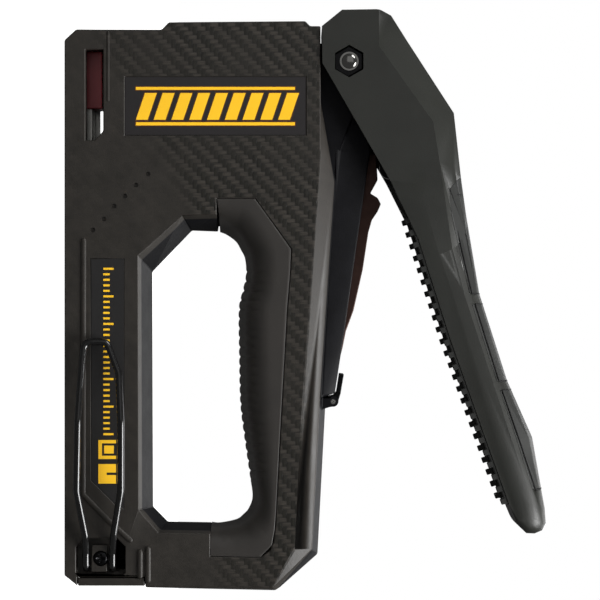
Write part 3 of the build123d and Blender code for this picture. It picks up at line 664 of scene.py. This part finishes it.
# A pan head: height = h * (1 - (r/R)^4)^0.5, less a cross recess that is deepest in the middle and ends at
# its reach.
def panHead():
    r = np.concatenate([np.linspace(0.02, 2.0, 40), np.linspace(2.1, screwShape["radius"], 14)])
    angle = np.linspace(0, 2 * pi, 96, endpoint=False)
    rr, aa = np.meshgrid(r, angle, indexing="ij")
    u, v = rr * np.cos(aa), rr * np.sin(aa)
    height = screwShape["height"] * np.sqrt(np.clip(1 - (rr / screwShape["radius"])**4, 0, 1))
    narrow, wide = np.minimum(abs(u), abs(v)), np.maximum(abs(u), abs(v))
    depth = screwShape["recess"] * np.clip(1 - wide / screwShape["reach"], 0, 1)**0.6
    height = height - depth * (1 - ease(narrow, screwShape["slot"] - 0.1, screwShape["slot"] + 0.1))
    x0, z0 = screwShape["centre"]
    top = np.stack([x0 + u, screwShape["seat"] - height, z0 + v], -1)
    skirt = top[-1:] * np.array([1, 0, 1]) + np.array([0, screwShape["seat"] + 0.9, 0])
    points = np.concatenate([top, skirt])
    rows = len(points)
    faces = gridFaces(rows, 96, closeColumns=True).tolist()
    faces += [list(range(96))[::-1], list(range((rows - 1) * 96, rows * 96))]
    made = newObject("belt_hook_screw_head", metres(points), faces, "housing", blackOxide)
    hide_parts("belt_hook_screw")
    return made


panHead()
print("belt hook made")


# Springs.

# A coil: point = centre + R cos(turn) * side + R sin(turn) * up + axis * distance; the end turns are closed
# up flat.
def coil(name, start, axis, radius, wire, length, turns, body):
    axis = np.array(axis, float)
    side = np.array([0, 1, 0]) if abs(axis[1]) < 0.5 else np.array([1, 0, 0])
    up = np.cross(axis, side)
    t = np.linspace(0, 1, int(turns * 22))
    closed = wire / length
    climb = np.interp(t, [0, 1 / turns, 1 - 1 / turns, 1], [0, closed, 1 - closed,
                                                            1]) * (length - 2 * wire) + wire
    turn = 2 * pi * turns * t
    circle = np.outer(np.cos(turn), side) + np.outer(np.sin(turn), up)
    line = np.array(start) + np.outer(climb, axis) + radius * circle
    points, faces = wireAlong(line, wire / 2, 8, lean=axis)
    return newObject(name, metres(points), faces, body, springSteel)


powerSpring = coil("power_spring_coil", (1.6, 0, 38.3), (0, 0, 1), 3.55, 1.15, 37.7, 15, "housing")
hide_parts("power_spring")
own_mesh(powerSpring)
feedSpring = coil("feed_spring_coil", (24.65, 0, 6.2), (1, 0, 0), 1.95, 0.8, 163, 62, "magazine")
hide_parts("feed_spring")
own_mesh(feedSpring)
handleSpring = coil("handle_spring_coil", (7.9, -4.5, 103.3), (0, 1, 0), 5.9, 1.3, 9.0, 6, "housing")
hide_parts("handle_spring")
print("springs made")


# Print on the badges and the label.

# Each mark is a thin slab with a four-cornered outline; every slab's eight corners and six faces come out
# at once.
def marks(name, outlines, y0, y1, material):
    outlines = np.array(outlines, float)
    count = len(outlines)
    points = np.zeros((count, 2, 4, 3))
    points[..., 0] = outlines[:, None, :, 0]
    points[..., 2] = outlines[:, None, :, 1]
    points[:, 0, :, 1], points[:, 1, :, 1] = y0, y1
    box = np.array([[0, 1, 2, 3], [7, 6, 5, 4], [0, 4, 5, 1], [1, 5, 6, 2], [2, 6, 7, 3], [3, 7, 4, 0]])
    faces = (np.arange(count)[:, None, None] * 8 + box).reshape(-1, 4)
    return newObject(name, metres(points.reshape(-1, 3)), faces, "housing", material, smooth=False)


badgePrint = {"left": 25.9, "right": 83.6, "lines": [(17.2, 18.25), (30.0, 31.15)], "bars": (19.4, 29.1),
              "pitch": 6.45, "width": 4.3, "slant": 3.3, "outline": 0.28}


def badgeMarks(grow):
    left, right, e = badgePrint["left"], badgePrint["right"], grow
    quads = [[(x0 - e, left - e), (x0 - e, right + e), (x1 + e, right + e), (x1 + e, left - e)]
             for x0, x1 in badgePrint["lines"]]
    top, bottom = badgePrint["bars"]
    count = int((right - left - badgePrint["slant"]) // badgePrint["pitch"]) + 1
    for number in range(count):
        z = left + number * badgePrint["pitch"]
        # leaning bars: the upper end stands further along than the lower end
        slant, wide = badgePrint["slant"], badgePrint["width"]
        quads.append([(bottom + e, z - e), (top - e, z + slant - e), (top - e, z + slant + wide + e),
                      (bottom + e, z + wide + e)])
    return quads


# How far ink goes into what it is printed on, and how far each kind stands out of it, in mm.
inkShape = {"sunk": 0.02, "outline": 0.03, "badge": 0.06, "label": 0.05}

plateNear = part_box("badge_plate_near")[0].y * 1000
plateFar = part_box("badge_plate_far")[1].y * 1000
for side, face in (("near", plateNear), ("far", plateFar)):
    out = -1 if side == "near" else 1
    sunk = face - inkShape["sunk"] * out
    marks("badge_outline_" + side, badgeMarks(badgePrint["outline"]), sunk, face + inkShape["outline"] * out,
          brownInk)
    marks("badge_print_" + side, badgeMarks(0.0), sunk, face + inkShape["badge"] * out, yellowInk)

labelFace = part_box("label_plate")[0].y * 1000
rulerShape = {"start": 82.8, "pitch": 2.0, "count": 31, "foot": 14.1, "short": 16.4, "long": 17.8,
              "wide": 0.75}
ruler = []
for number in range(rulerShape["count"]):
    x = rulerShape["start"] + number * rulerShape["pitch"]
    foot, end = rulerShape["foot"], x + rulerShape["wide"]
    tip = rulerShape["long"] if number % 5 == 0 else rulerShape["short"]
    ruler.append([(x, foot), (x, tip), (end, tip), (end, foot)])
# two pictograms: a staple round a square, and a block with a slot
icons = [
    [(145.3, 12.3), (145.3, 13.6), (152.2, 13.6), (152.2, 12.3)],
    [(145.3, 13.6), (145.3, 18.7), (146.5, 18.7), (146.5, 13.6)],
    [(151.0, 13.6), (151.0, 18.7), (152.2, 18.7), (152.2, 13.6)],
    [(147.3, 14.4), (147.3, 17.9), (150.2, 17.9), (150.2, 14.4)],
    [(154.0, 12.3), (154.0, 15.3), (161.1, 15.3), (161.1, 12.3)],
    [(154.0, 15.3), (154.0, 18.7), (157.1, 18.7), (157.1, 15.3)],
    [(158.0, 15.3), (158.0, 18.7), (161.1, 18.7), (161.1, 15.3)],
]
marks("label_marks", ruler + icons, labelFace + inkShape["sunk"], labelFace - inkShape["label"],
      yellowInk)
print("print made")


# Raised ribs moulded on the near side.

sideFace = -16.0


# A low rib: a round section along a line, flattened square to the side face, with domed ends.
def moulding(name, line, width, height):
    line = np.array(line, float)
    path = np.stack([line[:, 0], np.full(len(line), sideFace), line[:, 1]], -1)
    if len(path) > 2:
        path = bentLine(path, [2.0] * (len(path) - 2), 6)
    else:
        path = path[0] + np.outer(np.linspace(0, 1, 8), path[1] - path[0])
    points, faces = wireAlong(path, width / 2, 16, lean=(0, 1, 0))
    points[:, 1] = sideFace + (points[:, 1] - sideFace) * height / (width / 2)
    return newObject(name, metres(points), faces, "housing", composite)


moulding("rib_long", [(73, 6.9), (165, 6.7), (174.4, 15.8), (181.6, 23.8)], 2.0, 0.55)
moulding("rib_rear_low", [(185.9, 27.4), (194.6, 27.4)], 2.1, 0.7)
moulding("rib_rear_high", [(184.9, 30.3), (196.2, 30.3)], 2.1, 0.7)
moulding("crease_front", [(-2.5, 15.8), (22.0, 15.8)], 1.0, 0.2)
print("ribs made")


# Camera, floor and light.

# The view is square to the near side, with the nose at the top.
camera = bpy.data.objects.new("camera", bpy.data.cameras.new("camera"))
bpy.context.scene.collection.objects.link(camera)
camera.data.angle = radians(15.23)
camera.matrix_world = Matrix(((0, -1, 0, 0.0), (0, 0, -1, -0.830), (1, 0, 0, 0.08545), (0, 0, 0, 1)))
bpy.context.scene.camera = camera

floorShape = {"long": 1.3, "front": -1.3, "back": 0.75, "level": -0.0004, "colour": "#a8a8a6",
              "glow": 0.95}      # the glow is for camera rays only, so that the paper reads as white
floorMaterial, floorTree = startMaterial("matt paper backdrop")
floorPlace = addNode(floorTree, "TexCoord", {}, "Object")
floorNoise = addNode(floorTree, "TexNoise", {"Vector": floorPlace, "Scale": 900.0, "Detail": 2.0})
floorBump = addNode(floorTree, "Bump", {"Height": floorNoise, "Strength": 0.1, "Distance": 0.0001})
floorRay = addNode(floorTree, "LightPath", {}, "Is Camera Ray")
floorGlow = addNode(floorTree, "MapRange", {"Value": floorRay, "To Max": floorShape["glow"]})
finishMaterial(floorTree, addNode(floorTree, "BsdfPrincipled", {
    "Base Color": colour(floorShape["colour"]), "Roughness": 0.9, "Normal": floorBump,
    "Specular IOR Level": 0.2,
    "Emission Color": (1, 1, 1, 1), "Emission Strength": floorGlow}))
long, front, back = floorShape["long"], floorShape["front"], floorShape["back"]
level = floorShape["level"]
corners = [(-long, front, level), (long, front, level), (long, back, level), (-long, back, level)]
floorMesh = bpy.data.meshes.new("floor")
floorMesh.from_pydata(corners, [], [(0, 1, 2, 3)])
floorMesh.materials.append(floorMaterial)
floor = bpy.data.objects.new("floor", floorMesh)
bpy.context.scene.collection.objects.link(floor)
floor.visible_glossy = False

lamps = {
    # name: place, where it points, width, height, power
    "key above": ((0.35, -0.36, 0.96), (0, 0, 0.09), 0.6, 0.5, 16),
    "key front": ((-0.75, -0.42, 0.62), (0, 0, 0.09), 0.5, 0.4, 5),
    "fill": ((-0.5, -1.2, 0.3), (0, 0, 0.09), 0.9, 0.9, 0.9),
    "back rim": ((0.2, 0.9, 0.9), (0, 0, 0.09), 0.9, 0.5, 4),
}
for name, (place, target, width, height, power) in lamps.items():
    data = bpy.data.lights.new(name, "AREA")
    data.shape = "RECTANGLE"
    data.size, data.size_y = width, height
    data.energy = power
    lamp = bpy.data.objects.new(name, data)
    lamp.location = place
    lamp.rotation_euler = (Vector(target) - Vector(place)).to_track_quat("-Z", "Y").to_euler()
    bpy.context.scene.collection.objects.link(lamp)

world = bpy.data.worlds.new("studio")
bpy.context.scene.world = world
world.use_nodes = True
world.node_tree.nodes.clear()
ray = addNode(world.node_tree, "LightPath", {}, "Is Camera Ray")
strength = addNode(world.node_tree, "MapRange", {"Value": ray, "To Min": 0.11, "To Max": 1.0})
addNode(world.node_tree, "OutputWorld", {"Surface": addNode(world.node_tree, "Background", {
    "Color": (1, 1, 1, 1), "Strength": strength})})
bpy.context.scene.view_settings.view_transform = "Standard"
print("camera and light ready")
